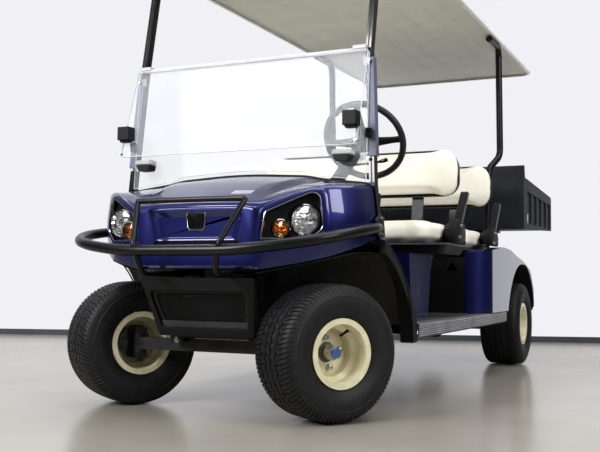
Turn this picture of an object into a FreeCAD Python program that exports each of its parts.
import FreeCAD, Part
import math
import os

# Four-seat golf cart with a tipping cargo bed, in millimetres.
# The cart faces -Y, its left side is +X and it stands on z = 0.
# Every y in this file is measured back from the front axle line.  At the end each
# solid moves by FRONT_AXLE_Y, so that the origin is the middle of the cart's box.

Vector = FreeCAD.Vector

# Chassis
WHEELBASE = 2368.0
FRONT_TRACK = 856.0
REAR_TRACK = 1011.0
HALF_WIDTH = 600.0
FLOOR_TOP = 310.0
FLOOR_THICK = 6.0
WALL = 5.0
FIT = 0.3
PIN_CLEAR = 0.05
MOVE_CLEAR = 6.0

# Wheels and steering
TYRE_DIAMETER = 457.0
TYRE_WIDTH = 216.0
TREAD_HALF = 84.0
SHOULDER_DROP = 44.0
RIM_FLANGE_RADIUS = 116.0
RIM_SEAT_RADIUS = 101.0
RIM_WELL_RADIUS = 84.0
RIM_WIDTH = 190.0
RIM_SHEET = 4.0
DISC_HOLE_RADIUS = 34.0
HUB_NOSE_RADIUS = 23.0
HUB_NOSE_LENGTH = 56.0
HUB_DRUM_RADIUS = 62.0
HUB_DRUM_LENGTH = 22.0
REAR_DRUM_LENGTH = 54.0
SPINDLE_RADIUS = 12.5
SPINDLE_REACH = 71.0
KINGPIN_X = FRONT_TRACK / 2 - SPINDLE_REACH
KINGPIN_RADIUS = 12.0
KINGPIN_BOSS_RADIUS = 22.0
KINGPIN_BOSS_HEIGHT = 70.0
KNUCKLE_ARM_THICK = 20.0
STEER_AT_REST = -32.0
STEER_ARM_BACK = 71.0
STEER_ARM_IN = 30.0
STEER_ARM_RISE = 6.0
STEER_ARM_THICK = 12.0
TIE_ROD_RADIUS = 9.0
BALL_PIN_RADIUS = 7.0
BALL_EYE_RADIUS = 13.0
BALL_EYE_HALF = 11.0
BALL_GAP = 2.0
STEERING_WHEEL_AT = (250.0, 750.0, 1060.0)
STEERING_WHEEL_RADIUS = 170.0
STEERING_GRIP_RADIUS = 14.0
SPOKE_ANGLES = (0, 90, 180)
COLUMN_SLOPE = 33.7
COLUMN_RADIUS = 26.0
COLUMN_LENGTH = 545.0

# Axles, springs and frame
BEAM_HEIGHT = 43.0
BEAM_DEPTH = 44.0
REAR_TUBE_RADIUS = 38.0
CASE_X = 60.0
CASE_RADIUS = 94.0
RAIL_X = 235.0
HORN_X = 150.0
HORN_JOINT = 240.0
RAIL_FRONT = -105.0
RAIL_REAR = WHEELBASE + 732.0
TOE_FOOT_Y = 400.0
FLOOR_REAR = WHEELBASE - 433.0
RAIL_KICK_Y = WHEELBASE - 283.0
RAIL_WIDTH = 50.0
RAIL_HEIGHT = 74.0
SPRING_WIDTH = 44.0
SPRING_THICK = 18.0
POST_SIZE = 50.0

# Front body
COWL_REAR = 135.0
HOOP_FOOT_Y = RAIL_KICK_Y - 3.0
STRUT_WIDTH = 22.0
STRUT_DEPTH = 32.0
REAR_STRUT_RADIUS = 18.0
WINDSCREEN_THICK = 5.0
BUMPER_TUBE_RADIUS = 19.0
BUMPER_REACH = 318.0
GUARD_STAY_X = 144.0
STAY_BAR_Y = -70.0
GUARD_BAR_RADIUS = 10.0
HEADLAMP_RADIUS = 54.0
TURN_LAMP_RADIUS = 33.0

# Seats
BODY_FRONT = 1500.0
SEAT_PITCH = 665.0
TRAY_BOTTOM = 583.0
CUSHION_FRONT = 850.0
CUSHION_DEPTH = 420.0
CUSHION_BOTTOM = 628.0
CUSHION_HEIGHT = 96.0
CUSHION_HALF = HALF_WIDTH - 102.0
BACKREST_BOTTOM = 866.0
BACKREST_HEIGHT = 224.0
BACKREST_THICK = 60.0

# Roof
ROOF_HALF = 542.0
ROOF_FRONT = 140.0
ROOF_REAR = WHEELBASE + 632.0
ROOF_LIP_FRONT = 1763.0
ROOF_LIP_REAR = 1786.0
ROOF_CROWN = 66.0

# Cargo bed
BED_FRONT = WHEELBASE + 37.0
BED_REAR = BED_FRONT + 925.0
BED_FLOOR_TOP = 815.0
BED_WALL = 20.0
BED_PIVOT_Y = BED_FRONT + 585.0
BED_PIVOT_Z = 746.0
BED_PIN_RADIUS = 10.0
GATE_PIN_RADIUS = 6.0

FRONT_OVERHANG = BUMPER_REACH + BUMPER_TUBE_RADIUS
LENGTH = FRONT_OVERHANG + BED_REAR
FRONT_AXLE_Y = FRONT_OVERHANG - LENGTH / 2
AXLE_Z = TYRE_DIAMETER / 2
BOSS_LOW = AXLE_Z - KINGPIN_BOSS_HEIGHT / 2
BOSS_HIGH = AXLE_Z + KINGPIN_BOSS_HEIGHT / 2


# Plain solids

def box(x0, x1, y0, y1, z0, z1):
    return Part.makeBox(x1 - x0, y1 - y0, z1 - z0, Vector(x0, y0, z0))


def rod(start, end, radius):
    a, b = Vector(*start), Vector(*end)
    return Part.makeCylinder(radius, (b - a).Length, a, b - a)


def fuse(*solids):
    return solids[0].multiFuse(list(solids[1:])).removeSplitter()


def mirrored(shape):
    return shape.mirror(Vector(0, 0, 0), Vector(1, 0, 0))


def pair(shape):
    return Part.makeCompound([shape, mirrored(shape)])


# Outlines whose corners may be rounded: each point is (a, b) or (a, b, radius)

def rounded_edges(corners, closed=True):
    points = [Vector(*c[:3]) for c in corners]
    radii = [c[3] if len(c) > 3 else 0.0 for c in corners]
    count = len(points)
    starts, ends, arcs = [], [], []
    for i, p in enumerate(points):
        radius = radii[i]
        inner = closed or 0 < i < count - 1
        if radius <= 0 or not inner:
            starts.append(p)
            ends.append(p)
            arcs.append(None)
            continue
        back = (points[i - 1] - p).normalize()
        on = (points[(i + 1) % count] - p).normalize()
        half = back.getAngle(on) / 2
        cut = radius / math.tan(half)
        middle = (back + on).normalize()
        mid = p + middle * (radius / math.sin(half) - radius)
        starts.append(p + back * cut)
        ends.append(p + on * cut)
        arcs.append(mid)
    edges = []
    for i in range(count):
        if arcs[i] is not None:
            edges.append(Part.Arc(starts[i], arcs[i], ends[i]).toShape())
        if i == count - 1 and not closed:
            break
        a, b = ends[i], starts[(i + 1) % count]
        if (b - a).Length > 1e-6:
            edges.append(Part.LineSegment(a, b).toShape())
    return edges


def corner_at(c, plane, offset):
    a, b, rest = c[0], c[1], tuple(c[2:])
    place = {"x": (offset, a, b), "y": (a, offset, b), "z": (a, b, offset)}[plane]
    return place + rest


def outline(corners, plane, offset):
    return Part.Wire(rounded_edges([corner_at(c, plane, offset) for c in corners]))


def prism(corners, plane, low, high):
    face = Part.Face(outline(corners, plane, low))
    way = {"x": Vector(1, 0, 0), "y": Vector(0, 1, 0), "z": Vector(0, 0, 1)}[plane]
    return face.extrude(way * (high - low))


def loft(wires, ruled=True):
    return Part.makeLoft(wires, True, ruled)


def tube(corners, radius):
    path = Part.Wire(rounded_edges(corners, closed=False))
    start, after = Vector(*corners[0][:3]), Vector(*corners[1][:3])
    ring = Part.Wire(Part.makeCircle(radius, start, after - start))
    return path.makePipeShell([ring], True, False)


def bar(corners, profile):
    path = Part.Wire(rounded_edges(corners, closed=False))
    return path.makePipeShell([profile], True, False, 1)


def turned(profile, axis_at, axis):
    """Revolve an outline of (along the axis, radius) points, with its seam at the bottom."""
    edges = rounded_edges([(p[0], 0.0, -p[1]) + tuple(p[2:]) for p in profile])
    face = Part.Face(Part.Wire(edges))
    solid = face.revolve(Vector(0, 0, 0), Vector(1, 0, 0), 360)
    angle = math.degrees(math.atan2(axis[1], axis[0]))
    solid.rotate(Vector(0, 0, 0), Vector(0, 0, 1), angle)
    solid.translate(Vector(*axis_at))
    return solid


# Wheels

# name, side (+1 left, -1 right), distance from kingpin or centre line, y, steered
WHEELS = [
    ("fl", 1, FRONT_TRACK / 2, 0.0, True),
    ("fr", -1, FRONT_TRACK / 2, 0.0, True),
    ("rl", 1, REAR_TRACK / 2, WHEELBASE, False),
    ("rr", -1, REAR_TRACK / 2, WHEELBASE, False),
]


def wheel_place(side, half_track, y, steered):
    """Return the wheel's centre and its outward spin axis in the rest pose."""
    if not steered:
        return (side * half_track, y, AXLE_Z), (side, 0.0, 0.0)
    turn = math.radians(STEER_AT_REST)
    axis = (side * math.cos(turn), side * math.sin(turn), 0.0)
    centre = (
        side * KINGPIN_X + axis[0] * SPINDLE_REACH,
        y + axis[1] * SPINDLE_REACH,
        AXLE_Z,
    )
    return centre, axis


def tyre_profile():
    """Bead, side wall, shoulder and crown as straight bands, which keeps four tyres light to mesh."""
    half = TYRE_WIDTH / 2
    crown = TYRE_DIAMETER / 2
    bead = RIM_WIDTH / 2 - RIM_SHEET - FIT
    seat = RIM_SEAT_RADIUS + FIT
    outer = [(bead, seat), (bead, seat + 16), (half, crown - SHOULDER_DROP), (TREAD_HALF, crown)]
    return outer + [(-x, radius) for x, radius in reversed(outer)]


def rim_profile():
    half = RIM_WIDTH / 2
    t = RIM_SHEET
    disc = 2.5
    return [
        (half, RIM_FLANGE_RADIUS),
        (half - t, RIM_FLANGE_RADIUS),
        (half - t, RIM_SEAT_RADIUS),
        (38, RIM_SEAT_RADIUS - 2),
        (26, RIM_WELL_RADIUS),
        (-26, RIM_WELL_RADIUS),
        (-38, RIM_SEAT_RADIUS - 2),
        (-half + t, RIM_SEAT_RADIUS),
        (-half + t, RIM_FLANGE_RADIUS),
        (-half, RIM_FLANGE_RADIUS),
        (-half, RIM_SEAT_RADIUS - t),
        (-40, RIM_SEAT_RADIUS - t - 3),
        (-28, RIM_WELL_RADIUS - t),
        (-disc - 9, RIM_WELL_RADIUS - t),
        (-disc, 66),
        (-disc, DISC_HOLE_RADIUS),
        (disc, DISC_HOLE_RADIUS),
        (disc, 68),
        (-disc, RIM_WELL_RADIUS - t),
        (28, RIM_WELL_RADIUS - t),
        (40, RIM_SEAT_RADIUS - t - 3),
        (half, RIM_SEAT_RADIUS - t),
    ]


def hub_profile(drum_radius, drum_length):
    disc = 2.5 + FIT
    bore = SPINDLE_RADIUS + PIN_CLEAR
    bore_end = HUB_NOSE_LENGTH - 16
    return [
        (-disc - drum_length, bore),
        (-disc - drum_length, drum_radius),
        (-disc, drum_radius),
        (-disc, DISC_HOLE_RADIUS - FIT),
        (12, DISC_HOLE_RADIUS - FIT - 4),
        (12, HUB_NOSE_RADIUS),
        (HUB_NOSE_LENGTH - 6, HUB_NOSE_RADIUS),
        (HUB_NOSE_LENGTH, HUB_NOSE_RADIUS - 6),
        (HUB_NOSE_LENGTH, 0),
        (bore_end, 0),
        (bore_end, bore),
    ]


def wheels():
    parts = {}
    for name, side, half_track, y, steered in WHEELS:
        centre, axis = wheel_place(side, half_track, y, steered)
        parts["tyre_" + name] = turned(tyre_profile(), centre, axis)
        parts["rim_" + name] = turned(rim_profile(), centre, axis)
        length = HUB_DRUM_LENGTH if steered else REAR_DRUM_LENGTH
        parts["hub_" + name] = turned(hub_profile(HUB_DRUM_RADIUS, length), centre, axis)
    return parts


# Steering

def steer_turned(shape, side):
    """Turn a knuckle modelled straight ahead about its kingpin to the rest angle."""
    shape.rotate(Vector(side * KINGPIN_X, 0, 0), Vector(0, 0, 1), STEER_AT_REST)
    return shape


def ball_place(side):
    turn = math.radians(STEER_AT_REST)
    dx, dy = -side * STEER_ARM_IN, STEER_ARM_BACK
    return (
        side * KINGPIN_X + dx * math.cos(turn) - dy * math.sin(turn),
        dx * math.sin(turn) + dy * math.cos(turn),
    )


ARM_LOW = BOSS_LOW - 1.0 - KNUCKLE_ARM_THICK
ARM_HIGH = BOSS_HIGH + 1.0 + KNUCKLE_ARM_THICK
STEER_ARM_LOW = AXLE_Z + STEER_ARM_RISE


def knuckle(side):
    x = side * KINGPIN_X
    web_in = KINGPIN_BOSS_RADIUS + MOVE_CLEAR
    web_out = web_in + 12
    web = box(web_in, web_out, -30, 30, ARM_LOW, ARM_HIGH)
    lower = box(-KINGPIN_BOSS_RADIUS, web_out, -20, 20, ARM_LOW, ARM_LOW + KNUCKLE_ARM_THICK)
    upper = box(-KINGPIN_BOSS_RADIUS, web_out, -20, 20, ARM_HIGH - KNUCKLE_ARM_THICK, ARM_HIGH)
    pin = rod((0, 0, ARM_LOW - 14), (0, 0, ARM_HIGH + 8), KINGPIN_RADIUS)
    hub_back = SPINDLE_REACH - 2.5 - FIT - HUB_DRUM_LENGTH
    collar = rod((web_out - 1, 0, AXLE_Z), (hub_back - 1, 0, AXLE_Z), SPINDLE_RADIUS + 8)
    spindle = rod((web_out - 1, 0, AXLE_Z), (SPINDLE_REACH + HUB_NOSE_LENGTH - 18, 0, AXLE_Z), SPINDLE_RADIUS)
    arm_points = [
        (web_in, 10),
        (web_out, 10),
        (web_out, 38),
        (-STEER_ARM_IN + 8, STEER_ARM_BACK + 10),
        (-STEER_ARM_IN - 8, STEER_ARM_BACK - 10),
        (web_in, 34),
    ]
    arm = prism(arm_points, "z", STEER_ARM_LOW, STEER_ARM_LOW + STEER_ARM_THICK)
    eye = rod((-STEER_ARM_IN, STEER_ARM_BACK, STEER_ARM_LOW),
              (-STEER_ARM_IN, STEER_ARM_BACK, STEER_ARM_LOW + STEER_ARM_THICK), BALL_EYE_RADIUS)
    solid = fuse(web, lower, upper, pin, collar, spindle, arm, eye)
    bore = rod((-STEER_ARM_IN, STEER_ARM_BACK, ARM_LOW), (-STEER_ARM_IN, STEER_ARM_BACK, ARM_HIGH),
               BALL_PIN_RADIUS + PIN_CLEAR)
    if side > 0:
        solid = solid.cut(bore)
    if side < 0:
        solid = mirrored(solid)
    solid.translate(Vector(x, 0, 0))
    return steer_turned(solid, side)


TIE_ROD_Z = STEER_ARM_LOW - BALL_GAP - BALL_EYE_HALF


def tie_rod():
    left, right = ball_place(1), ball_place(-1)
    z = TIE_ROD_Z
    bar_rod = rod((left[0], left[1], z), (right[0], right[1], z), TIE_ROD_RADIUS)
    ends = [rod((p[0], p[1], z - BALL_EYE_HALF), (p[0], p[1], z + BALL_EYE_HALF), BALL_EYE_RADIUS)
            for p in (left, right)]
    pin = rod((left[0], left[1], z), (left[0], left[1], STEER_ARM_LOW + STEER_ARM_THICK - 2), BALL_PIN_RADIUS)
    return fuse(bar_rod, ends[0], ends[1], pin)


def column_point(back):
    """A point on the column's axis, this far down from the steering wheel's centre."""
    x, y, z = STEERING_WHEEL_AT
    slope = math.radians(COLUMN_SLOPE)
    return (x, y - back * math.cos(slope), z - back * math.sin(slope))


def steering_wheel():
    x, y, z = STEERING_WHEEL_AT
    rim = Part.makeTorus(STEERING_WHEEL_RADIUS, STEERING_GRIP_RADIUS)
    hub = rod((0, 0, -34), (0, 0, -6), 42)
    sleeve = rod((0, 0, -58), (0, 0, -30), 18)
    solids = [rim, hub, sleeve]
    for angle in SPOKE_ANGLES:
        spoke = prism([(-24, 0), (24, 0), (16, STEERING_WHEEL_RADIUS), (-16, STEERING_WHEEL_RADIUS)],
                      "z", -14, -6)
        spoke.rotate(Vector(0, 0, 0), Vector(0, 0, 1), angle - 90)
        solids.append(spoke)
    wheel = fuse(*solids)
    wheel.rotate(Vector(0, 0, 0), Vector(1, 0, 0), -(90 - COLUMN_SLOPE))
    wheel.translate(Vector(x, y, z))
    return wheel


def steering_column():
    top = column_point(58 + FIT)
    return rod(column_point(COLUMN_LENGTH), top, COLUMN_RADIUS)


# Axles and springs

def front_axle():
    half = KINGPIN_X
    beam = box(-half, half, -BEAM_DEPTH / 2, BEAM_DEPTH / 2, AXLE_Z - BEAM_HEIGHT / 2, AXLE_Z + BEAM_HEIGHT / 2)
    bosses = [rod((s * half, 0, BOSS_LOW), (s * half, 0, BOSS_HIGH), KINGPIN_BOSS_RADIUS) for s in (1, -1)]
    solid = fuse(beam, *bosses)
    for s in (1, -1):
        solid = solid.cut(rod((s * half, 0, BOSS_LOW - 5), (s * half, 0, BOSS_HIGH + 5), KINGPIN_RADIUS + PIN_CLEAR))
    return solid


FRONT_RAIL_Z = 362.0
MAIN_RAIL_Z = FLOOR_TOP - FLOOR_THICK - RAIL_HEIGHT / 2
REAR_RAIL_Z = 402.0
BEAM_TOP = AXLE_Z + BEAM_HEIGHT / 2
REAR_TUBE_TOP = AXLE_Z + REAR_TUBE_RADIUS

# centre x, centre y, seat z, rail z, reach forward, reach back
SPRINGS = [
    (HORN_X, 0.0, BEAM_TOP, FRONT_RAIL_Z, 92.0, 215.0),
    (RAIL_X, WHEELBASE, REAR_TUBE_TOP, REAR_RAIL_Z, 250.0, 270.0),
]


def springs():
    solids = []
    for x, y, seat, rail_z, ahead, behind in SPRINGS:
        low = seat + FIT
        top = rail_z - RAIL_HEIGHT / 2
        eye = top - 30
        leaf = prism([
            (y - ahead, eye), (y - 40, low), (y + 40, low), (y + behind, eye),
            (y + behind, eye + 8), (y + 45, low + SPRING_THICK), (y - 45, low + SPRING_THICK), (y - ahead, eye + 8),
        ], "x", x - SPRING_WIDTH / 2, x + SPRING_WIDTH / 2)
        hangers = [box(x - SPRING_WIDTH / 2, x + SPRING_WIDTH / 2, e - 12, e + 12, eye - 10, top - FIT)
                   for e in (y - ahead, y + behind)]
        solids.append(fuse(leaf, *hangers))
    return Part.makeCompound([m for s in solids for m in (s, mirrored(s))])


def rear_axle():
    hub_back = REAR_TRACK / 2 - 2.5 - FIT - REAR_DRUM_LENGTH
    length = hub_back - 1
    tube_solid = rod((-length, WHEELBASE, AXLE_Z), (length, WHEELBASE, AXLE_Z), REAR_TUBE_RADIUS)
    stub = REAR_TRACK / 2 + HUB_NOSE_LENGTH - 18
    shaft = rod((-stub, WHEELBASE, AXLE_Z), (stub, WHEELBASE, AXLE_Z), SPINDLE_RADIUS)
    case = rod((CASE_X - 45, WHEELBASE, AXLE_Z), (CASE_X + 45, WHEELBASE, AXLE_Z), CASE_RADIUS)
    ends = [Part.makeCone(CASE_RADIUS, REAR_TUBE_RADIUS + 6, 50, Vector(CASE_X + s * 45, WHEELBASE, AXLE_Z), Vector(s, 0, 0))
            for s in (1, -1)]
    nose = rod((CASE_X, WHEELBASE - 170, AXLE_Z + 10), (CASE_X, WHEELBASE, AXLE_Z + 10), 36)
    return fuse(tube_solid, shaft, case, nose, *ends)


# Frame

def rail():
    """A main rail, stepped inboard ahead of the toe board to clear the steered wheels."""
    h = RAIL_HEIGHT / 2
    stations = [
        (HORN_JOINT, FRONT_RAIL_Z), (HORN_JOINT + 50, FRONT_RAIL_Z), (TOE_FOOT_Y - 15, MAIN_RAIL_Z),
        (FLOOR_REAR + 5, MAIN_RAIL_Z), (RAIL_KICK_Y, REAR_RAIL_Z), (RAIL_REAR, REAR_RAIL_Z),
    ]
    top = [(y, z + h) for y, z in stations]
    bottom = [(y, z - h) for y, z in reversed(stations)]
    main = prism(top + bottom, "x", RAIL_X - RAIL_WIDTH / 2, RAIL_X + RAIL_WIDTH / 2)
    horn = box(HORN_X - RAIL_WIDTH / 2, HORN_X + RAIL_WIDTH / 2, RAIL_FRONT, HORN_JOINT + 50,
               FRONT_RAIL_Z - h, FRONT_RAIL_Z + h)
    step = box(HORN_X, RAIL_X, HORN_JOINT, HORN_JOINT + 50, FRONT_RAIL_Z - h, FRONT_RAIL_Z + h)
    return fuse(main, horn, step)


# half width, y low, y high, z low, z high of the crossmembers between the rails
HORN_INNER = HORN_X - RAIL_WIDTH / 2 - FIT
RAIL_INNER = RAIL_X - RAIL_WIDTH / 2 - FIT
CROSSMEMBERS = [
    (HORN_INNER, RAIL_FRONT, RAIL_FRONT + 30, FRONT_RAIL_Z - 30, FRONT_RAIL_Z + 30),
    (HORN_INNER, HORN_JOINT, HORN_JOINT + 40, FRONT_RAIL_Z - 30, FRONT_RAIL_Z + 30),
    (RAIL_INNER, 420.0, 460.0, MAIN_RAIL_Z - 25, MAIN_RAIL_Z + 25),
    (RAIL_INNER, 1180.0, 1220.0, MAIN_RAIL_Z - 25, MAIN_RAIL_Z + 25),
    (RAIL_INNER, FLOOR_REAR - 95, FLOOR_REAR - 55, MAIN_RAIL_Z - 25, MAIN_RAIL_Z + 25),
    (RAIL_INNER, WHEELBASE + 332, WHEELBASE + 372, REAR_RAIL_Z - 25, REAR_RAIL_Z + 25),
    (RAIL_INNER, RAIL_REAR - 40, RAIL_REAR, REAR_RAIL_Z - 25, REAR_RAIL_Z + 25),
]


def crossmembers():
    """The bars between the rails, and the arms that carry the floor outside them."""
    bars = [box(-half, half, y0, y1, z0, z1) for half, y0, y1, z0, z1 in CROSSMEMBERS]
    outer = RAIL_X + RAIL_WIDTH / 2 + FIT
    for y in (440.0, 1200.0, FLOOR_REAR - 75):
        arm = box(outer, HALF_WIDTH - 60, y - 20, y + 20, MAIN_RAIL_Z, FLOOR_TOP - FLOOR_THICK - FIT)
        bars += [arm, mirrored(arm)]
    return Part.makeCompound(bars)


REAR_RAIL_TOP = REAR_RAIL_Z + RAIL_HEIGHT / 2


def bed_posts():
    half = POST_SIZE / 2
    solids = []
    front = box(RAIL_X - half, RAIL_X + half, BED_FRONT + 35, BED_FRONT + 35 + POST_SIZE,
                REAR_RAIL_TOP + FIT, BED_FLOOR_TOP - 10 - FIT)
    eye = rod((RAIL_X - half, BED_PIVOT_Y, BED_PIVOT_Z), (RAIL_X + half, BED_PIVOT_Y, BED_PIVOT_Z), 24)
    back = box(RAIL_X - half, RAIL_X + half, BED_PIVOT_Y - half, BED_PIVOT_Y + half,
               REAR_RAIL_TOP + FIT, BED_PIVOT_Z)
    bore = rod((RAIL_X - half - 1, BED_PIVOT_Y, BED_PIVOT_Z), (RAIL_X + half + 1, BED_PIVOT_Y, BED_PIVOT_Z),
               BED_PIN_RADIUS + PIN_CLEAR)
    back = fuse(back, eye).cut(bore)
    for s in (front, back):
        solids += [s, mirrored(s)]
    return Part.makeCompound(solids)


def rear_bumper():
    """A flat band bent around the tail, tied to the rails' ends."""
    outer = HALF_WIDTH - 40
    tail = RAIL_REAR + 46
    bend = RAIL_REAR - 300
    tip = RAIL_REAR - 360
    outline_points = [
        (-outer, tip), (-outer, bend, 60), (60 - outer, tail, 40), (outer - 60, tail, 40), (outer, bend, 60),
        (outer, tip), (outer - 12, tip), (outer - 12, bend - 2, 60), (outer - 71, tail - 12, 40),
        (71 - outer, tail - 12, 40), (12 - outer, bend - 2, 60), (12 - outer, tip),
    ]
    band = prism(outline_points, "z", 372.0, 432.0)
    ties = [box(s * RAIL_X - 25, s * RAIL_X + 25, RAIL_REAR + FIT, tail - 10, 380, 424) for s in (1, -1)]
    return fuse(band, *ties)


# Floor and rockers

TOE_TOP = (150.0, 604.0)
MAT_THICK = 2.0

# y low and y high of the rubber mats in the front and rear footwells
MATS = [(TOE_FOOT_Y + 20, 742.0), (1112.0, BODY_FRONT - 18)]


def floor():
    lean = math.atan2(TOE_TOP[1] - FLOOR_TOP, TOE_FOOT_Y - TOE_TOP[0])
    back = FLOOR_THICK / math.sin(lean)
    drop = FLOOR_THICK / math.tan(lean)
    side = [
        (TOE_TOP[0], TOE_TOP[1]), (TOE_FOOT_Y, FLOOR_TOP), (FLOOR_REAR, FLOOR_TOP),
        (FLOOR_REAR, FLOOR_TOP - FLOOR_THICK), (TOE_FOOT_Y - back + drop, FLOOR_TOP - FLOOR_THICK),
        (TOE_TOP[0] - back, TOE_TOP[1]),
    ]
    half = HALF_WIDTH - 55
    mats = [box(-half + 22, half - 22, y0, y1, FLOOR_TOP - 1, FLOOR_TOP + MAT_THICK) for y0, y1 in MATS]
    return fuse(prism(side, "x", -half, half), *mats)


def rockers():
    inner = HALF_WIDTH - 55 + FIT
    section = [
        (inner, FLOOR_TOP), (HALF_WIDTH, FLOOR_TOP, 8), (HALF_WIDTH, 262), (HALF_WIDTH - 14, 252),
        (inner, 252), (inner, 257), (HALF_WIDTH - 16, 257), (HALF_WIDTH - WALL, 264),
        (HALF_WIDTH - WALL, FLOOR_TOP - WALL), (inner, FLOOR_TOP - WALL),
    ]
    return pair(prism(section, "y", TOE_FOOT_Y + 12, FLOOR_REAR))


# Front body

# y, bottom x, bottom z, side x, side z, shoulder x, shoulder z, valley x, valley z, ridge x, ridge z, crown z
COWL_SECTIONS = [
    (-198, 228, 497, 243, 600, 238, 708, 200, 718, 150, 722, 724),
    (-90, 425, 540, 447, 650, 428, 783, 262, 766, 215, 774, 778),
    (0, 505, 577, 508, 690, 492, 792, 290, 795, 238, 811, 818),
    (COWL_REAR, 530, 612, 527, 700, 515, 806, 312, 828, 255, 850, 862),
]


def cowl_wire(row, inset):
    y, bx, bz, sx, sz, ox, oz, vx, vz, rx, rz, cz = row
    half = [(bx - inset, bz), (sx - inset, sz), (ox - inset, oz - inset), (vx, vz - inset), (rx, rz - inset)]
    corners = half + [(0, cz - inset)] + [(-x, z) for x, z in reversed(half)]
    return outline(corners, "y", y)


def cowl_solid(inset, shift):
    rows = [(r[0] + shift,) + tuple(r[1:]) for r in COWL_SECTIONS]
    return loft([cowl_wire(r, inset) for r in rows])


# x, z, corner radius of the sunk panel in the nose and of the slot under it
NOSE_PANEL = [(-153, 603, 8), (153, 603, 8), (178, 698, 12), (-178, 698, 12)]
NOSE_SLOT = [(-166, 582, 4), (166, 582, 4), (168, 596, 4), (-168, 596, 4)]
NOSE_SLATS = 33
LAMP_OPENING = [(250, 604), (262, 690, 20), (416, 768, 20), (430, 640, 26), (392, 604, 20)]


def front_cowl():
    shell = cowl_solid(0, 0).cut(cowl_solid(WALL, WALL + 1))
    shell = shell.cut(box(-150, 150, -197 + WALL, COWL_REAR + 10, 480, 500))
    face = COWL_SECTIONS[0][0]
    shell = shell.cut(prism(NOSE_PANEL, "y", face - 5, face + WALL))
    back = prism([(x * 1.04, z) for x, z, _ in NOSE_PANEL], "y", face + WALL, face + WALL + 3)
    shell = shell.cut(prism(NOSE_SLOT, "y", face - 5, face + WALL + 5))
    slats = []
    for i in range(NOSE_SLATS):
        x = (i - (NOSE_SLATS - 1) / 2) * 2 * 158 / NOSE_SLATS
        slats.append(box(x - 1.5, x + 1.5, face + 1.5, face + WALL, NOSE_SLOT[0][1] - 1, NOSE_SLOT[2][1] + 1))
    shell = fuse(shell, back, *slats)
    for side in (1, -1):
        window = prism([(side * c[0],) + tuple(c[1:]) for c in LAMP_OPENING], "y", -300, -20)
        shell = shell.cut(window)
    return shell


def inner_cowl(depth):
    """The space under the cowl's skin, pushed back by a depth."""
    return cowl_solid(WALL + FIT, depth)


# centre x, y of the lens, z, radius, depth
HEADLAMP = (369.0, -112.0, 667.0, HEADLAMP_RADIUS, 60.0)
TURN_LAMP = (300.0, -152.0, 637.5, TURN_LAMP_RADIUS, 34.0)


def lamp_body(row, gap):
    x, y, z, radius, depth = row
    return rod((x, y - gap * 3, z), (x, y + depth + gap, z), radius + gap)


def lamp_window(row):
    x, y, z, radius, _ = row
    return rod((x, y - 180, z), (x, y, z), radius + 2)


def lamp_pods():
    grown = [(245, 598), (257, 694, 24), (418, 776, 24), (436, 640, 30), (396, 598, 24)]
    block = prism(grown, "y", -260, -20)
    skirt = block.cut(prism(LAMP_OPENING, "y", -300, 0)).common(inner_cowl(WALL + 1 + FIT))
    pod = block.common(inner_cowl(20.0)).fuse(skirt).removeSplitter()
    for row in (HEADLAMP, TURN_LAMP):
        pod = pod.cut(lamp_body(row, FIT)).cut(lamp_window(row))
    return pair(pod.Solids[0])


def lamps(row):
    return pair(lamp_body(row, 0))


FASCIA_TOP = (227.0, -197.0, 472.0)
FASCIA_BOTTOM = (190.0, -118.0, 268.0)
FASCIA_BOW = 14.0


def fascia_section(point, front, back, trim):
    x, y, z = point
    x = x - trim
    ends = [Vector(-x, y + front, z), Vector(x, y + front, z)]
    rear = [Vector(x, y + back, z), Vector(-x, y + back, z)]
    edges = [
        Part.Arc(ends[0], Vector(0, y + front - FASCIA_BOW, z), ends[1]).toShape(),
        Part.LineSegment(ends[1], rear[0]).toShape(),
        Part.Arc(rear[0], Vector(0, y + back - FASCIA_BOW, z), rear[1]).toShape(),
        Part.LineSegment(rear[1], ends[0]).toShape(),
    ]
    return Part.Wire(edges)


def fascia_slab(front, back, trim=0.0):
    return loft([fascia_section(p, front, back, trim) for p in (FASCIA_BOTTOM, FASCIA_TOP)])


# half width and height of the recess in the fascia and of the mesh within it, bottom and top
RECESS_LOW, RECESS_HIGH = (171.0, 296.0), (197.0, 427.0)
MESH_LOW, MESH_HIGH = (153.0, 321.0), (175.0, 414.0)
SLAT_COUNT = 9


def window(low, high, radius, inset=0.0):
    """A window narrower at the foot than at the top, with rounded corners, in x and z."""
    return [(inset - low[0], low[1] + inset, radius), (low[0] - inset, low[1] + inset, radius),
            (high[0] - inset, high[1] - inset, radius), (inset - high[0], high[1] - inset, radius)]


def fascia():
    slab = fascia_slab(0, 16)
    slab = slab.cut(prism(window(RECESS_LOW, RECESS_HIGH, 16), "y", -320, 0))
    struts = []
    for s in (1, -1):
        inner = HORN_X + RAIL_WIDTH / 2 + FIT
        strut = fuse(box(RECESS_HIGH[0] - 8, RECESS_HIGH[0] + 6, -146, -60, 345, 375),
                     box(inner, RECESS_HIGH[0], -100, -60, 345, 375))
        struts.append(strut if s > 0 else mirrored(strut))
    return fuse(slab, *struts)


def grille():
    slab = fascia_slab(6, 14, trim=1.0)
    rim = slab.common(prism(window(RECESS_LOW, RECESS_HIGH, 16, FIT), "y", -320, 0))
    rim = rim.cut(prism(window(MESH_LOW, MESH_HIGH, 10), "y", -320, 0))
    height = MESH_HIGH[1] - MESH_LOW[1]
    pieces = [rim]
    for i in range(SLAT_COUNT):
        share = (i + 1) / (SLAT_COUNT + 1)
        z = MESH_LOW[1] + height * share
        half = MESH_LOW[0] + (MESH_HIGH[0] - MESH_LOW[0]) * share + 2
        slat = slab.common(box(-half, half, -320, 0, z - 2, z + 2))
        pieces.append(slat)
    return fuse(*pieces)


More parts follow.
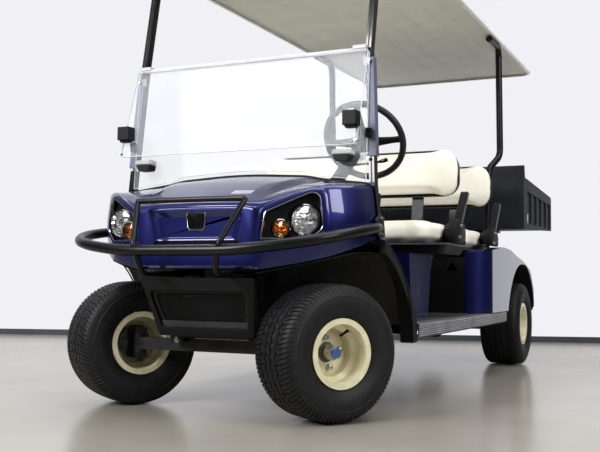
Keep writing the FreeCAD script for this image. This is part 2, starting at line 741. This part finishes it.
def front_flares():
    inner_radius, outer_radius = 356.0, 404.0
    low = 234.0
    start = math.radians(2)
    stop = math.radians(70)

    def at(radius, angle):
        return Vector(HALF_WIDTH - 55 + FIT, radius * math.cos(angle), AXLE_Z + radius * math.sin(angle))

    mid = (start + stop) / 2
    edges = [
        Part.Arc(at(outer_radius, start), at(outer_radius, mid), at(outer_radius, stop)).toShape(),
        Part.LineSegment(at(outer_radius, stop), at(inner_radius, stop)).toShape(),
        Part.Arc(at(inner_radius, stop), at(inner_radius, mid), at(inner_radius, start)).toShape(),
        Part.LineSegment(at(inner_radius, start), at(outer_radius, start)).toShape(),
    ]
    band = Part.Face(Part.Wire(edges)).extrude(Vector(60, 0, 0))
    edge = HALF_WIDTH - 4
    trim = prism([(edge - 96, low - 20), (edge, low - 20), (edge, 330), (edge - 36, 640), (edge - 96, 640)],
                 "y", 0, 500)
    flare = band.common(trim)
    return [flare, mirrored(flare)]


def front_arches():
    """The sheet over each front wheel, from the fascia up and back to the toe board."""
    low = 562.0
    slope = (TOE_TOP[1] - FLOOR_TOP) / (TOE_FOOT_Y - TOE_TOP[0])
    end = toe_face(low) - FLOOR_THICK * math.hypot(1, 1 / slope) - FIT
    outer = HALF_WIDTH - 55
    line = [(-196, 488), (-90, 534, 60), (0, 560, 120), (90, 566, 160), (end, low)]
    under = [(p[0], p[1] - 4) + tuple(p[2:]) for p in reversed(line)]
    sheet = prism(line + under, "x", 232, outer)
    plan = [(0, -200), (220, -200), (417, -90), (497, 0), (522, 118), (outer, 124), (outer, 200), (0, 200)]
    sheet = sheet.common(prism(plan, "z", 400, 640))
    return [sheet, mirrored(sheet)]


# Guard

def brush_guard():
    plate = box(531 + FIT, 542, 118, 196, 618, 680)
    left = [(554, 186, 652), (554, 60, 644, 90), (546, -100, 624, 110), (430, -248, 588, 160),
            (200, -BUMPER_REACH, 561, 500)]
    tube_path = left + [(-c[0],) + tuple(c[1:]) for c in reversed(left)]
    solids = [tube(tube_path, BUMPER_TUBE_RADIUS), plate, mirrored(plate)]
    for s in (1, -1):
        knee = -BUMPER_REACH - BUMPER_TUBE_RADIUS + GUARD_BAR_RADIUS + 2
        upright = [(s * 212, -236, 733), (s * 164, knee, 582, 60), (s * GUARD_STAY_X, -306, 484, 30),
                   (s * GUARD_STAY_X, -180, 484)]
        solids.append(tube(upright, GUARD_BAR_RADIUS))
    solids.append(rod((-212, -236, 733), (212, -236, 733), GUARD_BAR_RADIUS))
    for s in (1, -1):
        solids.append(Part.makeSphere(GUARD_BAR_RADIUS, Vector(s * 212, -236, 733)))
        solids.append(rod((s * GUARD_STAY_X, -180, 484), (s * GUARD_STAY_X, STAY_BAR_Y, 484), GUARD_BAR_RADIUS))
    return fuse(*solids)


# Struts, windscreen and roof

LEAN_FOOT = (157.0, 800.0)
LEAN_TOP = (190.0, 1301.0)
LEAN = math.atan2(LEAN_TOP[0] - LEAN_FOOT[0], LEAN_TOP[1] - LEAN_FOOT[1])


def roof_lip(y):
    share = (y - ROOF_FRONT) / (ROOF_REAR - ROOF_FRONT)
    return ROOF_LIP_FRONT + share * (ROOF_LIP_REAR - ROOF_LIP_FRONT)


RIB_RISE = 14.0


def front_strut():
    w, d = STRUT_WIDTH / 2, STRUT_DEPTH / 2
    top = roof_lip(279) + RIB_RISE - 3.2
    path = [(520, 168, 606), (520, 168, 690), (512, LEAN_FOOT[0], LEAN_FOOT[1]),
            (483, LEAN_TOP[0], LEAN_TOP[1]), (484, 254, 1619), (484, 279, top)]
    x, y, z = path[0]
    profile = Part.makePolygon([Vector(x - w, y - d, z), Vector(x + w, y - d, z), Vector(x + w, y + d, z),
                                Vector(x - w, y + d, z), Vector(x - w, y - d, z)])
    return bar(path, profile)


def leaned(shape):
    """Lean a shape drawn upright at the strut's foot so that it follows the struts."""
    shape.rotate(Vector(0, LEAN_FOOT[0], LEAN_FOOT[1]), Vector(1, 0, 0), -math.degrees(LEAN))
    return shape


PANE_HALF = 492.0
PANE_FACE = LEAN_FOOT[0] - STRUT_DEPTH / 2 - 4.0
HINGE_UP = LEAN_FOOT[1] + (LEAN_TOP[1] - LEAN_FOOT[1]) / math.cos(LEAN)
FOLD = 14.0
FOLD_LENGTH = 385.0


def windscreen():
    y1 = PANE_FACE
    y0 = y1 - WINDSCREEN_THICK
    lower = prism([(-PANE_HALF, 818), (-312, 840), (-255, 862), (0, 874), (255, 862), (312, 840), (PANE_HALF, 818),
                   (PANE_HALF, HINGE_UP - 6, 18), (-PANE_HALF, HINGE_UP - 6, 18)], "y", y0, y1)
    upper = prism([(-PANE_HALF, HINGE_UP - FOLD_LENGTH, 18), (PANE_HALF, HINGE_UP - FOLD_LENGTH, 18),
                   (PANE_HALF, HINGE_UP - 5, 18), (-PANE_HALF, HINGE_UP - 5, 18)], "y", y0, y1)
    upper.rotate(Vector(0, y0 - 3, HINGE_UP), Vector(1, 0, 0), -FOLD)
    upper.translate(Vector(0, -WINDSCREEN_THICK - 4, 0))
    return Part.makeCompound([leaned(lower), leaned(upper)])


def windscreen_clips():
    y1 = PANE_FACE
    solids = []
    for z in (905.0, 1253.0):
        pad = box(PANE_HALF - 26, PANE_HALF - 4, y1 + FIT, y1 + 4 - FIT, z - 14, z + 14)
        solids += [leaned(pad)]
    hinge = box(PANE_HALF - 60, PANE_HALF - 10, y1 - WINDSCREEN_THICK - 16, y1 + 4 - FIT,
                HINGE_UP - 6 + 2 * FIT, HINGE_UP + 6)
    solids.append(leaned(hinge))
    return Part.makeCompound([m for s in solids for m in (s, mirrored(s))])


def rear_hoop():
    """The hoop behind the rear seat: two bent tubes on a crossbar."""
    top = roof_lip(HOOP_FOOT_Y + 18) + RIB_RISE - REAR_STRUT_RADIUS - 2
    foot = (455, HOOP_FOOT_Y, DECK_TOP + 20)
    solids = []
    for s in (1, -1):
        path = [(507, HOOP_FOOT_Y - 132, top - 1), (507, HOOP_FOOT_Y + 98, top, 60),
                (507, HOOP_FOOT_Y + 126, 1168, 70), (470, HOOP_FOOT_Y + 14, 1085, 60), foot]
        solids.append(tube([(s * c[0],) + tuple(c[1:]) for c in path], REAR_STRUT_RADIUS))
    solids.append(box(-foot[0] - 24, foot[0] + 24, foot[1] - 24, foot[1] + 24, DECK_TOP + FIT, DECK_TOP + 30))
    return fuse(*solids)


def roof_struts():
    strut = front_strut()
    return Part.makeCompound([strut, mirrored(strut), rear_hoop()])


def roof_block(inset):
    """The crowned block of the roof, drawn level at the front lip's height."""
    z = ROOF_LIP_FRONT
    half = ROOF_HALF - inset
    top = ROOF_CROWN - inset
    across = [(-half, z - inset), (half, z - inset), (half, z + 16, 10), (half - 46, z + top - 14, 60),
              (0, z + top, 2500), (-half + 46, z + top - 14, 60), (-half, z + 16, 10)]
    front, rear = ROOF_FRONT + inset, ROOF_REAR - inset
    along = [(front, z - inset), (rear, z - inset), (rear, z + 14, 10), (rear - 90, z + top + 1, 160),
             (front + 120, z + top + 1, 160), (front, z + 10, 10)]
    plan = [(-half, front, 90), (half, front, 90), (half, rear, 60), (-half, rear, 60)]
    block = prism(across, "y", front - 1, rear + 1)
    block = block.common(prism(along, "x", -half - 1, half + 1))
    return block.common(prism(plan, "z", z - inset - 1, z + ROOF_CROWN + 2))


def roof():
    """A crowned shell closed below by a liner, with long shallow swages pressed in the liner."""
    shell = roof_block(0).cut(roof_block(WALL))
    low = ROOF_LIP_FRONT + RIB_RISE
    liner = box(-ROOF_HALF, ROOF_HALF, ROOF_FRONT, ROOF_REAR, low, low + WALL).common(roof_block(WALL - 1))
    solid = fuse(shell, liner)
    for x in (-360, -240, -120, 0, 120, 240, 360):
        swage = [(x - 40, ROOF_FRONT + 230, 20), (x + 40, ROOF_FRONT + 230, 20),
                 (x + 40, ROOF_REAR - 260, 20), (x - 40, ROOF_REAR - 260, 20)]
        solid = solid.cut(prism(swage, "z", low - 1, low + 2.5))
    slope = math.degrees(math.atan2(ROOF_LIP_REAR - ROOF_LIP_FRONT, ROOF_REAR - ROOF_FRONT))
    solid.rotate(Vector(0, ROOF_FRONT, ROOF_LIP_FRONT), Vector(1, 0, 0), slope)
    return solid


# Dash

DASH_HALF = 468.0


def dash():
    side = [(COWL_REAR + FIT, 640.5), (COWL_REAR + FIT, 860), (260, 850), (346, 806, 20), (356, 776, 20),
            (330, 690, 30), (300, 640.5)]
    across = [(-DASH_HALF, 640), (DASH_HALF, 640), (DASH_HALF, 792), (400, 804), (312, 820), (255, 842), (0, 852),
              (-255, 842), (-312, 820), (-400, 804), (-DASH_HALF, 792)]
    block = prism(side, "x", -DASH_HALF, DASH_HALF).common(prism(across, "y", 100, 400))
    cubby = prism([(-430, 664, 14), (-70, 664, 14), (-70, 764, 14), (-430, 764, 14)], "y", 190, 420)
    block = block.cut(cubby)
    return block.cut(rod(column_point(COLUMN_LENGTH + FIT), column_point(0), COLUMN_RADIUS + FIT))


def cowl_frame():
    cross = box(-509 + FIT, 509 - FIT, 152, 184, 612, 640)
    legs = []
    low = FRONT_RAIL_Z + RAIL_HEIGHT / 2 + FIT
    for s in (1, -1):
        legs.append(box(s * HORN_X - 16, s * HORN_X + 16, 60, 92, low, 640))
        legs.append(box(s * HORN_X - 16, s * HORN_X + 16, 60, 184, 612, 640))
        legs.append(box(s * HORN_X - 16, s * HORN_X + 16, STAY_BAR_Y + FIT, STAY_BAR_Y + 25, low, 504))
        legs.append(box(s * HORN_X - 16, s * HORN_X + 16, STAY_BAR_Y + FIT, 92, 480, 504))
    return fuse(cross, *legs)


def toe_face(z):
    """The y of the toe board's upper face at a height."""
    share = (z - FLOOR_TOP) / (TOE_TOP[1] - FLOOR_TOP)
    return TOE_FOOT_Y - share * (TOE_FOOT_Y - TOE_TOP[0])


def pedals():
    solids = []
    for x in (180.0, 290.0):
        pad = prism([(300, 440), (308, 446), (282, 520), (274, 514)], "x", x - 32, x + 32)
        arm = prism([(toe_face(478) + FIT, 478), (292, 484), (289, 494), (toe_face(490) + FIT, 490)],
                    "x", x - 8, x + 8)
        solids.append(fuse(pad, arm))
    return Part.makeCompound(solids)


# Seats

def front_pod():
    outer = [(782, FLOOR_TOP + FIT), (752, TRAY_BOTTOM - FIT), (1095, TRAY_BOTTOM - FIT), (1060, 520, 60), (1019, FLOOR_TOP + FIT)]
    inner = [(787, FLOOR_TOP), (758, 590), (1089, 590), (1054, 520, 55), (1014, FLOOR_TOP)]
    shell = prism(outer, "x", -450, 450)
    return shell.cut(prism(inner, "x", -450 + WALL, 450 - WALL))


def power_block():
    return box(-330, 330, 800, 1000, FLOOR_TOP + FIT, 560)


# seat name, y shift, tray half width, wide part's rear end
SEATS = [
    ("front", 0.0, HALF_WIDTH - 20),
    ("rear", SEAT_PITCH, HALF_WIDTH - 122),
]


def seat_tray(shift, half):
    def plan(inset, z):
        w = half - inset
        return outline([(-w, 845 + shift + inset, 30), (w, 845 + shift + inset, 30), (w, 1215 + shift - inset, 30),
                        (440, 1215 + shift - inset), (440, 1345 + shift), (-440, 1345 + shift),
                        (-440, 1215 + shift - inset), (-w, 1215 + shift - inset, 30)], "z", z)
    body = loft([plan(26, TRAY_BOTTOM), plan(6, 620)])
    lip = Part.Face(plan(0, 620)).extrude(Vector(0, 0, CUSHION_BOTTOM - 620 - FIT))
    return fuse(body, lip)


def seat_trays():
    return Part.makeCompound([seat_tray(shift, half) for _, shift, half in SEATS])


def seat_cushions():
    solids = []
    for _, shift, _ in SEATS:
        y0 = CUSHION_FRONT + shift
        plan = [(-CUSHION_HALF, y0, 60), (CUSHION_HALF, y0, 60), (CUSHION_HALF, y0 + CUSHION_DEPTH, 40),
                (-CUSHION_HALF, y0 + CUSHION_DEPTH, 40)]
        solids.append(prism(plan, "z", CUSHION_BOTTOM, CUSHION_BOTTOM + CUSHION_HEIGHT))
    return Part.makeCompound(solids)


BACK_FACE = 1281.0


def back_outline(grow):
    z0, z1 = BACKREST_BOTTOM - grow, BACKREST_BOTTOM + BACKREST_HEIGHT + grow
    w = 508.0 + grow
    return [(-w, z0, 70), (w, z0, 70), (w, z1, 90), (-w, z1, 90)]


def backrests():
    return Part.makeCompound([prism(back_outline(0), "y", BACK_FACE + shift, BACK_FACE + shift + BACKREST_THICK)
                              for _, shift, _ in SEATS])


def backrest_shells():
    solids = []
    for _, shift, _ in SEATS:
        y = BACK_FACE + shift + BACKREST_THICK + FIT
        solids.append(prism(back_outline(-4), "y", y, y + 14))
    return Part.makeCompound(solids)


def seat_frames():
    solids = []
    back = BACK_FACE + BACKREST_THICK + 14 + 2 * FIT
    for _, shift, _ in SEATS:
        for side in (1, -1):
            strap = [(1322 + shift, CUSHION_BOTTOM), (back + shift, BACKREST_BOTTOM - 2), (back + shift, 1040),
                     (back + 8 + shift, 1040), (back + 8 + shift, BACKREST_BOTTOM - 2), (1332 + shift, CUSHION_BOTTOM)]
            x = side * 297
            solids.append(prism(strap, "x", x - 28, x + 28))
    return Part.makeCompound(solids)


def hip_restraints():
    solids = []
    for _, shift, half in SEATS:
        low = (CUSHION_BOTTOM, CUSHION_BOTTOM) if shift == 0 else (630.4, 645.2)
        face = [(1030 + shift, low[0]), (1190 + shift, low[1]), (1200 + shift, 690, 10), (1166 + shift, 740, 10),
                (1256 + shift, 868, 8), (1228 + shift, 880, 8), (1120 + shift, 752, 10), (1050 + shift, 740, 14),
                (1022 + shift, 700, 14)]
        plate = prism(face, "x", HALF_WIDTH - 44, HALF_WIDTH - 26)
        solids += [plate, mirrored(plate)]
    return Part.makeCompound(solids)


# Rear body

BODY_REAR = WHEELBASE + 357.0
BODY_INBOARD = HALF_WIDTH - 95.0
CORNER_RADIUS = 111.0
ARCH_HALF_LENGTH = 408.0
ARCH_HEIGHT = 335.0


def arch_wire(grow, x):
    """The wheel arch from the floor line up and over, as two arcs closed along the bottom."""
    a, b = ARCH_HALF_LENGTH + grow, ARCH_HEIGHT + grow
    low = FLOOR_TOP - 40

    def at(degrees, squash):
        t = math.radians(degrees)
        return Vector(x, WHEELBASE - a * squash * math.cos(t), AXLE_Z + b * math.sin(t))

    front, top, rear = at(12, 1), Vector(x, WHEELBASE, AXLE_Z + b), at(168, 0.86)
    edges = [
        Part.LineSegment(Vector(x, front.y, low), front).toShape(),
        Part.Arc(front, at(48, 1), top).toShape(),
        Part.Arc(top, at(130, 0.9), rear).toShape(),
        Part.LineSegment(rear, Vector(x, rear.y, low)).toShape(),
        Part.LineSegment(Vector(x, rear.y, low), Vector(x, front.y, low)).toShape(),
    ]
    return Part.Wire(edges)


def body_block(inset):
    r = CORNER_RADIUS - inset
    side = HALF_WIDTH - inset
    inboard = BODY_INBOARD - 65 - inset
    front, rear = BODY_FRONT + inset, BODY_REAR - inset
    plan = [(inboard, front), (side, front, r), (side, rear, 30), (inboard, rear)]
    top_line = [(BODY_FRONT - 10, 300), (BODY_FRONT - 10, 608), (BODY_FRONT + 200, 630),
                (BODY_FRONT + 350, 644, 400), (WHEELBASE - 338, 636, 300), (WHEELBASE - 168, 606, 500),
                (WHEELBASE + 12, 582, 400), (BODY_REAR - 121, 530, 120), (BODY_REAR + 5, 380), (BODY_REAR + 5, 300)]
    profile = [(c[0], c[1] - inset) + tuple(c[2:]) for c in top_line]
    return prism(plan, "z", 300 - inset, 700).common(prism(profile, "x", inboard - 10, HALF_WIDTH + 10))


def rear_body():
    shell = body_block(0).cut(body_block(WALL))
    arch = Part.Face(arch_wire(0, HALF_WIDTH - 150)).extrude(Vector(200, 0, 0))
    shell = shell.cut(arch)
    shell = shell.cut(box(0, BODY_INBOARD, BODY_FRONT + 20, BODY_REAR + 50, 200, 700))
    shell = shell.cut(box(0, HALF_WIDTH - CORNER_RADIUS, BODY_FRONT - 50, BODY_REAR + 50, 200, 700))
    shell = shell.cut(box(0, HALF_WIDTH + 50, BODY_FRONT - 50, BODY_REAR + 50, 200, FLOOR_TOP + 2))
    return pair(shell)


def rear_liners():
    outer = Part.Face(arch_wire(-FIT, LINER_INNER)).extrude(Vector(HALF_WIDTH - WALL - FIT - LINER_INNER, 0, 0))
    inner = Part.Face(arch_wire(-4 - FIT, LINER_INNER - 5)).extrude(Vector(HALF_WIDTH - LINER_INNER + 20, 0, 0))
    band = outer.cut(inner)
    reach = ARCH_HALF_LENGTH + 50
    band = band.cut(box(LINER_INNER - 50, HALF_WIDTH + 50, WHEELBASE - reach, WHEELBASE + reach, 0, FLOOR_TOP + 2))
    return [band, mirrored(band)]


def rear_pod():
    half = HALF_WIDTH - CORNER_RADIUS - 1
    top = TRAY_BOTTOM - FIT
    back = FLOOR_REAR - 5
    pod = box(-half, half, BODY_FRONT, back, FLOOR_TOP + FIT, top)
    pod = pod.cut(box(-half + WALL, half - WALL, BODY_FRONT + WALL, back - WALL, FLOOR_TOP - 5, top - WALL))
    for s in (1, -1):
        vent = prism([(s * (half - 88), 520), (s * (half - 36), 520), (s * (half - 62), 562)], "y",
                     BODY_FRONT - 5, BODY_FRONT + 20)
        pod = pod.cut(vent)
    return pod


DECK_TOP = 566.0
LINER_INNER = 385.0


def rear_deck():
    half = LINER_INNER - FIT
    front = RAIL_KICK_Y - 25
    deck = box(-half, half, front, BED_FRONT + 30, DECK_TOP - 6, DECK_TOP)
    legs = [box(s * RAIL_X - 15, s * RAIL_X + 15, front + 30, front + 60, REAR_RAIL_TOP + FIT, DECK_TOP - 5)
            for s in (1, -1)]
    return fuse(deck, *legs)


# Cargo bed

GATE_PIVOT_Y = BED_REAR - 9.0
GATE_PIVOT_Z = BED_FLOOR_TOP + 12.0

# start and end of the sunk panels between the ribs of a side, from the bed's front
SIDE_POCKETS = [(95.0, 235.0), (260.0, 400.0), (425.0, 565.0), (590.0, 730.0), (755.0, 885.0)]


def bed():
    half = HALF_WIDTH
    side = [(BED_FRONT, 767), (BED_REAR, 803), (BED_REAR, 1024, 24), (BED_FRONT + 95, 1066),
            (BED_FRONT + 41, 1066, 20), (BED_FRONT + 25, 1137, 10), (BED_FRONT, 1137, 10)]
    block = prism(side, "x", -half, half)
    cavity = box(-half + BED_WALL, half - BED_WALL, BED_FRONT + BED_WALL, BED_REAR + 10, BED_FLOOR_TOP, 1200)
    under = box(-half + BED_WALL, half - BED_WALL, BED_FRONT + BED_WALL, BED_REAR + 10, 700, BED_FLOOR_TOP - 10)
    block = block.cut(cavity).cut(under)
    gate_room = box(-half + BED_WALL - 1, half - BED_WALL + 1, GATE_PIVOT_Y - 26, BED_REAR + 10, 700, 1200)
    block = block.cut(gate_room)
    for start, end in SIDE_POCKETS:
        y0, y1 = BED_FRONT + start, BED_FRONT + end
        pocket = prism([(y0, 800, 10), (y1, 812, 10), (y1, 995 - end * 0.03, 10), (y0, 999 - start * 0.03, 10)],
                       "x", half - 10, half + 5)
        block = block.cut(pocket).cut(mirrored(pocket))
    pin_bore = rod((-half - 1, GATE_PIVOT_Y, GATE_PIVOT_Z), (half + 1, GATE_PIVOT_Y, GATE_PIVOT_Z),
                   GATE_PIN_RADIUS + PIN_CLEAR)
    return block.cut(pin_bore)


def bed_subframe():
    top = BED_FLOOR_TOP - 10 - FIT
    half = POST_SIZE / 2
    solids = []
    for s in (1, -1):
        for x in (RAIL_X - half - MOVE_CLEAR - 8, RAIL_X + half + MOVE_CLEAR):
            ear = prism([(BED_PIVOT_Y - 30, top), (BED_PIVOT_Y - 16, BED_PIVOT_Z - 16, 12),
                         (BED_PIVOT_Y + 16, BED_PIVOT_Z - 16, 12), (BED_PIVOT_Y + 30, top)], "x", x, x + 8)
            solids.append(ear if s > 0 else mirrored(ear))
        pin = rod((s * (RAIL_X - half - MOVE_CLEAR - 12), BED_PIVOT_Y, BED_PIVOT_Z),
                  (s * (RAIL_X + half + MOVE_CLEAR + 12), BED_PIVOT_Y, BED_PIVOT_Z), BED_PIN_RADIUS)
        solids.append(pin)
    beam = box(-330, 330, BED_PIVOT_Y - 30, BED_PIVOT_Y + 30, BED_PIVOT_Z + 24 + MOVE_CLEAR, top)
    return fuse(beam, *solids)


def tailgate():
    half = HALF_WIDTH - BED_WALL - MOVE_CLEAR
    top = 1010.0
    low = GATE_PIVOT_Z - 8
    panel = box(-half, half, GATE_PIVOT_Y - 17, GATE_PIVOT_Y + 8, low, top)
    pocket = prism([(-half + 60, low + 40, 14), (half - 60, low + 40, 14), (half - 60, top - 40, 14),
                    (-half + 60, top - 40, 14)], "y", GATE_PIVOT_Y - 2, GATE_PIVOT_Y + 20)
    panel = panel.cut(pocket)
    pins = [rod((s * (half - 5), GATE_PIVOT_Y, GATE_PIVOT_Z), (s * (HALF_WIDTH - 2), GATE_PIVOT_Y, GATE_PIVOT_Z),
                GATE_PIN_RADIUS) for s in (1, -1)]
    return fuse(panel, *pins)


def bed_latches():
    y = BED_FRONT + 123
    latch = prism([(y, 808), (y + 18, 808), (y + 22, 862, 6), (y + 4, 862, 6)], "x",
                  HALF_WIDTH - 10 + FIT, HALF_WIDTH - 3)
    return pair(latch)


def build():
    parts = wheels()
    parts.update({
        "knuckle_left": knuckle(1),
        "knuckle_right": knuckle(-1),
        "tie_rod": tie_rod(),
        "steering_wheel": steering_wheel(),
        "steering_column": steering_column(),
        "front_axle": front_axle(),
        "rear_axle": rear_axle(),
        "springs": springs(),
        "side_rails": pair(rail()),
        "crossmembers": crossmembers(),
        "bed_posts": bed_posts(),
        "rear_bumper": rear_bumper(),
        "floor": floor(),
        "rockers": rockers(),
        "front_cowl": front_cowl(),
        "lamp_pods": lamp_pods(),
        "headlamps": lamps(HEADLAMP),
        "turn_lamps": lamps(TURN_LAMP),
        "fascia": fascia(),
        "grille": grille(),
        "arch_liners": Part.makeCompound(front_flares() + front_arches() + rear_liners()),
        "brush_guard": brush_guard(),
        "cowl_frame": cowl_frame(),
        "dash": dash(),
        "pedals": pedals(),
        "windscreen": windscreen(),
        "windscreen_clips": windscreen_clips(),
        "roof_struts": roof_struts(),
        "roof": roof(),
        "front_pod": front_pod(),
        "power_block": power_block(),
        "seat_trays": seat_trays(),
        "seat_cushions": seat_cushions(),
        "backrests": backrests(),
        "backrest_shells": backrest_shells(),
        "seat_frames": seat_frames(),
        "hip_restraints": hip_restraints(),
        "rear_body": rear_body(),
        "rear_pod": rear_pod(),
        "rear_deck": rear_deck(),
        "bed": bed(),
        "bed_subframe": bed_subframe(),
        "tailgate": tailgate(),
        "bed_latches": bed_latches(),
    })
    return parts


os.makedirs("parts", exist_ok=True)
for node, shape in build().items():
    shape.translate(Vector(0, FRONT_AXLE_Y, 0))
    shape.exportStep("parts/" + node + ".step")
    limits = shape.BoundBox
    print(node, len(shape.Solids), shape.isValid(), round(shape.Volume / 1000),
          [round(v, 1) for v in (limits.XMin, limits.XMax, limits.YMin, limits.YMax, limits.ZMin, limits.ZMax)])
